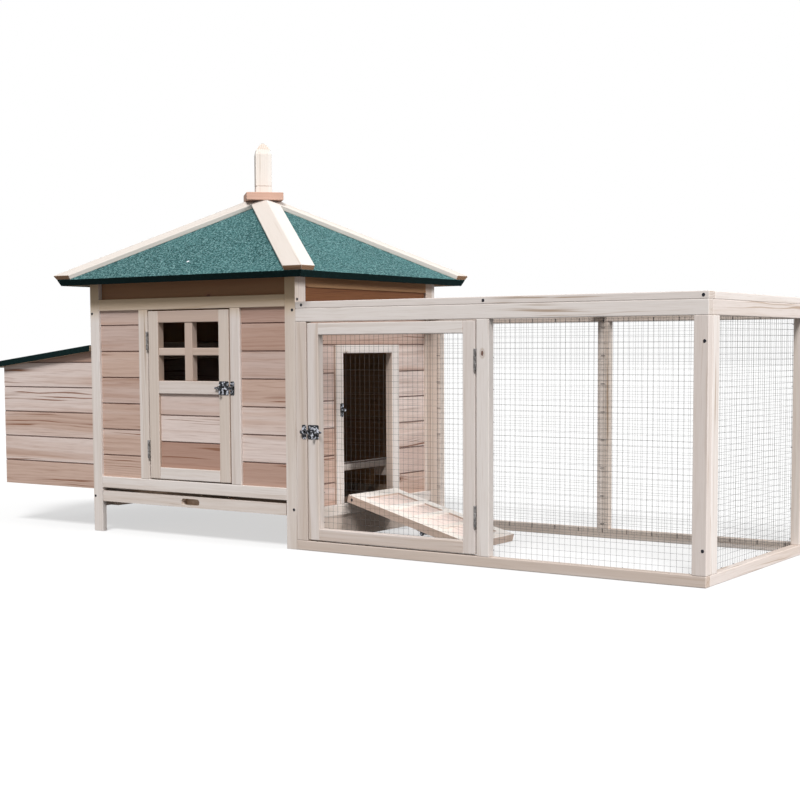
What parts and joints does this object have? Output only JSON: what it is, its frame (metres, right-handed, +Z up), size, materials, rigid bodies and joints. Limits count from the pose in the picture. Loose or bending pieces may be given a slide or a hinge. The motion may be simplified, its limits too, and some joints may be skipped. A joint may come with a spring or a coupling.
{
  "type": "wooden chicken coop",
  "caption": "Small wooden hen house on posts with a hipped felt roof and finial, side nest box, ramp, slide-out tray and an attached wire-mesh run.",
  "frame": {"origin": "on the ground, midway along the length and midway from front to back", "axes": "+X from the nest box to the run, +Y from the front to the back, +Z up"},
  "size_m": [2, 0.6882, 0.9654],
  "materials": {
    "frame_timber": "planed softwood",
    "board_timber": "stained softwood",
    "roof_panel": "plain plywood",
    "roof_felt": "green mineral felt",
    "wire_mesh": "galvanised",
    "steel_hardware": "zinc plated",
    "galvanised_sheet": "galvanised",
    "clear_pane": "clear sheet"
  },
  "bodies": {
    "coop": {"house_post_front_left": "frame_timber", "house_post_front_right": "frame_timber", "house_post_back_left": "frame_timber", "house_post_back_right": "frame_timber", "house_front_frame": "frame_timber", "house_back_frame": "frame_timber", "house_left_frame": "frame_timber", "house_right_frame": "frame_timber", "pop_hole_frame": "frame_timber", "hip_boards": "frame_timber", "finial": "frame_timber", "run_front_frame": "frame_timber", "run_end_frame": "frame_timber", "run_back_frame": "frame_timber", "run_top_frame": "frame_timber", "tray_runners": "frame_timber", "perch": "frame_timber", "perch_blocks": "frame_timber", "house_front_boards": "board_timber", "house_back_boards": "board_timber", "house_left_boards": "board_timber", "house_right_boards": "board_timber", "nest_side_boards": "board_timber", "nest_outer_boards": "board_timber", "nest_floor": "board_timber", "nest_divider": "board_timber", "roof_cap": "board_timber", "roof_panel_front": "roof_panel", "roof_panel_back": "roof_panel", "roof_panel_left": "roof_panel", "roof_panel_right": "roof_panel", "roof_felt": "roof_felt", "run_front_mesh": "wire_mesh", "run_end_mesh": "wire_mesh", "run_back_mesh": "wire_mesh", "run_top_mesh": "wire_mesh", "hinge_fixed_leaves": "steel_hardware", "bolt_keepers": "steel_hardware"},
    "house_door": {"house_door_frame": "frame_timber", "house_door_boards": "board_timber", "window_pane": "clear_pane", "house_door_hinges": "steel_hardware", "house_door_bolt_plate": "steel_hardware"},
    "house_door_bolt": {"house_door_bolt": "steel_hardware"},
    "run_door": {"run_door_frame": "frame_timber", "run_door_mesh": "wire_mesh", "run_door_hinges": "steel_hardware", "run_door_bolt_plate": "steel_hardware"},
    "run_door_bolt": {"run_door_bolt": "steel_hardware"},
    "ramp": {"ramp_frame": "frame_timber", "ramp_board": "board_timber", "ramp_cleats": "frame_timber", "ramp_hinges": "steel_hardware", "ramp_bolt_plate": "steel_hardware"},
    "ramp_bolt": {"ramp_bolt": "steel_hardware"},
    "nest_lid": {"nest_lid_panel": "roof_panel", "nest_lid_felt": "roof_felt", "nest_lid_hinges": "steel_hardware"},
    "tray": {"tray_front": "frame_timber", "tray_pan": "galvanised_sheet"}
  },
  "joints": [
    {"name": "house_door_hinge", "type": "hinge", "parent": "coop", "child": "house_door", "pos_m": [-0.4345, -0.2882, 0.343], "axis": [0, 0, -1], "range_deg": [0, 165]},
    {"name": "house_door_bolt_slide", "type": "slide", "parent": "house_door", "child": "house_door_bolt", "axis": [1, 0, 0], "range_m": [0, 0.011]},
    {"name": "run_door_hinge", "type": "hinge", "parent": "coop", "child": "run_door", "pos_m": [0.4925, -0.2882, 0.2675], "axis": [0, 0, 1], "range_deg": [0, 165]},
    {"name": "run_door_bolt_slide", "type": "slide", "parent": "run_door", "child": "run_door_bolt", "axis": [-1, 0, 0], "range_m": [0, 0.011]},
    {"name": "ramp_hinge", "type": "hinge", "parent": "coop", "child": "ramp", "pos_m": [0.0232, -0.005, 0.0895], "axis": [0, -1, 0], "range_deg": [0, 105.17]},
    {"name": "ramp_bolt_slide", "type": "slide", "parent": "ramp", "child": "ramp_bolt", "axis": [0, -1, 0], "range_m": [0, 0.011]},
    {"name": "nest_lid_hinge", "type": "hinge", "parent": "coop", "child": "nest_lid", "pos_m": [-0.6332, 0, 0.46775], "axis": [0, 1, 0], "range_deg": [0, 75]},
    {"name": "tray_slide", "type": "slide", "parent": "coop", "child": "tray", "axis": [0, -1, 0], "range_m": [0, 0.45]}
  ]
}
